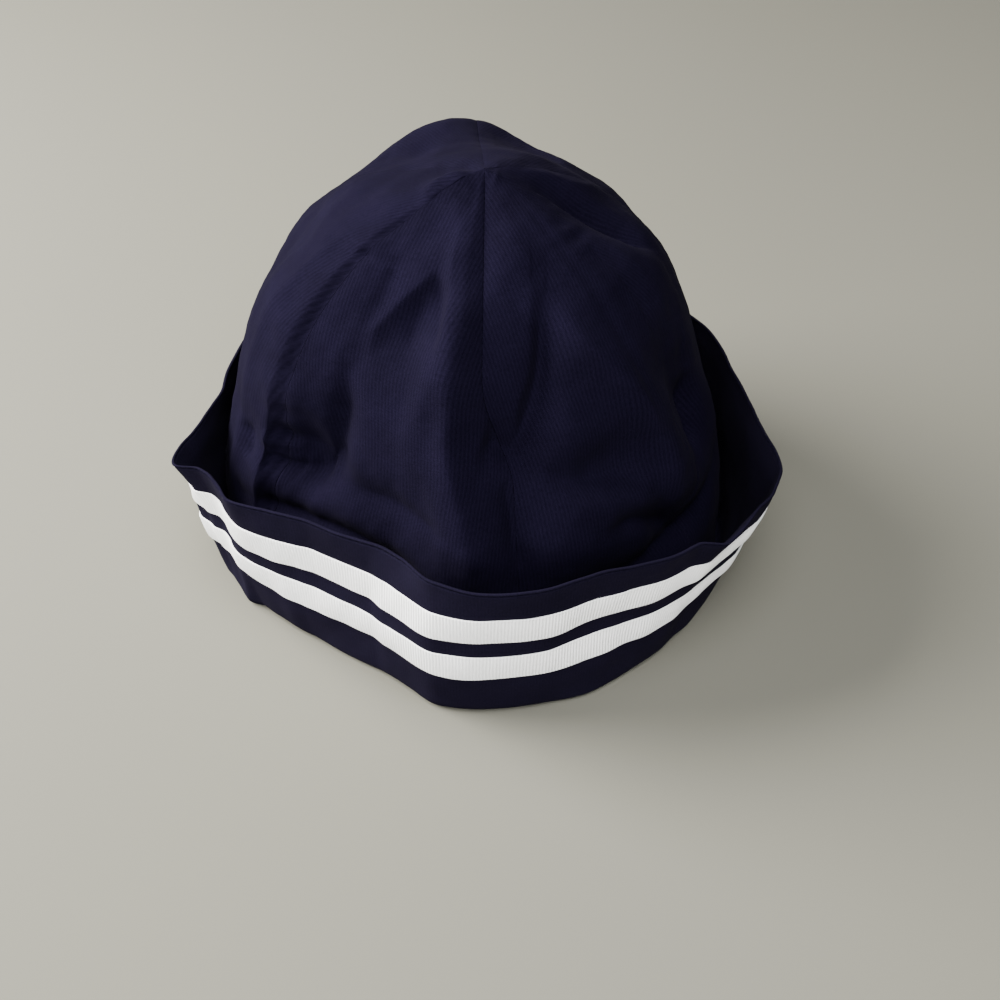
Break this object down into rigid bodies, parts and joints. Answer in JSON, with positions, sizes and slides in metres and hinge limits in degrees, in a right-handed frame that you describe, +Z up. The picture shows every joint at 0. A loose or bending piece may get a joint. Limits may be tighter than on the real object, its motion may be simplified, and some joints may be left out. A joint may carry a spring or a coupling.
{
  "type": "sailor cap",
  "caption": "Soft sailor cap with a pointed gored crown and a deep brim turned up all round, banded by woven ribbons; open below for the head.",
  "frame": {"origin": "on the surface the cap stands on, under the middle of the whole cap", "axes": "+Z up through the point of the crown, -Y towards the front seam of the crown, +X to the right as seen from the front"},
  "size_m": [0.1954, 0.1884, 0.1457],
  "materials": {
    "crown_twill": "navy blue cotton twill, matt with a faint wale",
    "brim_twill": "navy blue cotton twill in two layers, edge-stitched at the rim",
    "ribbon": "white grosgrain ribbon with cross ribs and plain selvedges"
  },
  "bodies": {
    "root": {"crown_front_left": "crown_twill", "crown_front_right": "crown_twill", "crown_left": "crown_twill", "crown_right": "crown_twill", "crown_back_left": "crown_twill", "crown_back_right": "crown_twill", "brim": "brim_twill", "ribbon_upper": "ribbon", "ribbon_lower": "ribbon"}
  },
  "joints": []
}
